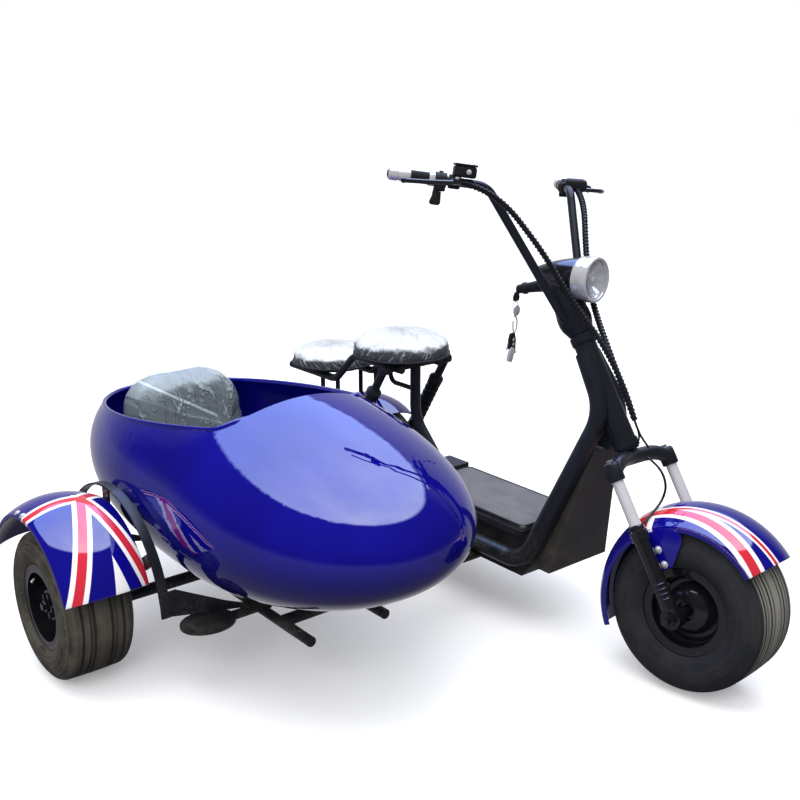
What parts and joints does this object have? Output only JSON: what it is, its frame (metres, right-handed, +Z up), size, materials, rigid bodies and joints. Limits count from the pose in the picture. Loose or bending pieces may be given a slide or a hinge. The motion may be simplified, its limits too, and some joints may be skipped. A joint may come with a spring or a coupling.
{
  "type": "electric tricycle with sidecar",
  "caption": "Fat-tyred electric scooter with a pod-shaped sidecar, step-through floor, swept-back handlebar, round padded seats and a steered front fork.",
  "frame": {"origin": "on the ground under the middle of the bounding box", "axes": "+X forward, +Y to the rider's left, +Z up"},
  "size_m": [1.9914, 1.761, 1.3254],
  "materials": {
    "black_paint": "satin black paint",
    "blue_gloss": "glossy deep blue lacquer",
    "tyre_rubber": "matt black tyre rubber",
    "chrome": "polished",
    "steel": "bright zinc",
    "black_plastic": "matt moulded",
    "rubber": "matt",
    "mat_rubber": "ribbed matt grey",
    "leather": "grained black",
    "lens": "clear",
    "red_lens": "clear red",
    "black_alloy": "gloss black coated",
    "key_steel": "worn"
  },
  "bodies": {
    "chassis": {"battery_case": "black_plastic", "driver_seat": "leather", "fender_arch": "black_paint", "foot_mat": "mat_rubber", "footboard": "black_paint", "frame_rails": "black_paint", "head_tube": "black_paint", "leg_shield": "black_plastic", "neck_gusset": "black_paint", "passenger_seat": "leather", "pod_mounts": "rubber", "rear_axle": "steel", "rear_caliper": "black_alloy", "rear_fender": "blue_gloss", "rear_shocks": "black_paint", "seat_box": "black_plastic", "seat_frame": "black_paint", "seat_pans": "black_plastic", "sidecar_axle": "steel", "sidecar_backrest": "leather", "sidecar_cushion": "leather", "sidecar_fender": "blue_gloss", "sidecar_frame": "black_paint", "sidecar_hood": "blue_gloss", "sidecar_tub": "blue_gloss", "step_plate": "black_paint", "swingarm": "black_paint", "tail_lamp": "red_lens"},
    "steering": {"fork_sliders": "black_alloy", "fork_stanchions": "chrome", "fork_crown": "black_paint", "steering_stem": "black_paint", "front_axle": "steel", "front_fender": "blue_gloss", "front_caliper": "black_alloy", "handlebar": "black_paint", "bar_clamp": "black_paint", "grips": "rubber", "bar_ends": "chrome", "switch_blocks": "black_plastic", "brake_perches": "black_plastic", "brake_levers": "black_alloy", "headlamp_shell": "black_plastic", "headlamp_ring": "chrome", "headlamp_lens": "lens", "lamp_post": "black_paint", "dash_pod": "black_plastic", "key_set": "key_steel", "cable_looms": "black_plastic"},
    "front_wheel": {"front_tyre": "tyre_rubber", "front_rim": "black_alloy", "front_disc": "steel"},
    "rear_wheel": {"rear_tyre": "tyre_rubber", "rear_hub_motor": "black_alloy", "rear_disc": "steel"},
    "sidecar_wheel": {"sidecar_tyre": "tyre_rubber", "sidecar_rim": "black_alloy"}
  },
  "joints": [
    {"name": "steering_turn", "type": "hinge", "parent": "chassis", "child": "steering", "pos_m": [0.42862, 0.47649, 0.70655], "axis": [-0.5505, 0, 0.8348], "range_deg": [-50.5, 29.5]},
    {"name": "front_wheel_spin", "type": "hinge", "parent": "steering", "child": "front_wheel", "pos_m": [0.77614, 0.48031, 0.21701], "axis": [-0.1521, 0.9833, -0.1003], "continuous": true},
    {"name": "rear_wheel_spin", "type": "hinge", "parent": "chassis", "child": "rear_wheel", "pos_m": [-0.64356, 0.47649, 0.212], "axis": [0, 1, 0], "continuous": true},
    {"name": "sidecar_wheel_spin", "type": "hinge", "parent": "chassis", "child": "sidecar_wheel", "pos_m": [-0.31956, -0.76851, 0.202], "axis": [0, 1, 0], "continuous": true}
  ]
}
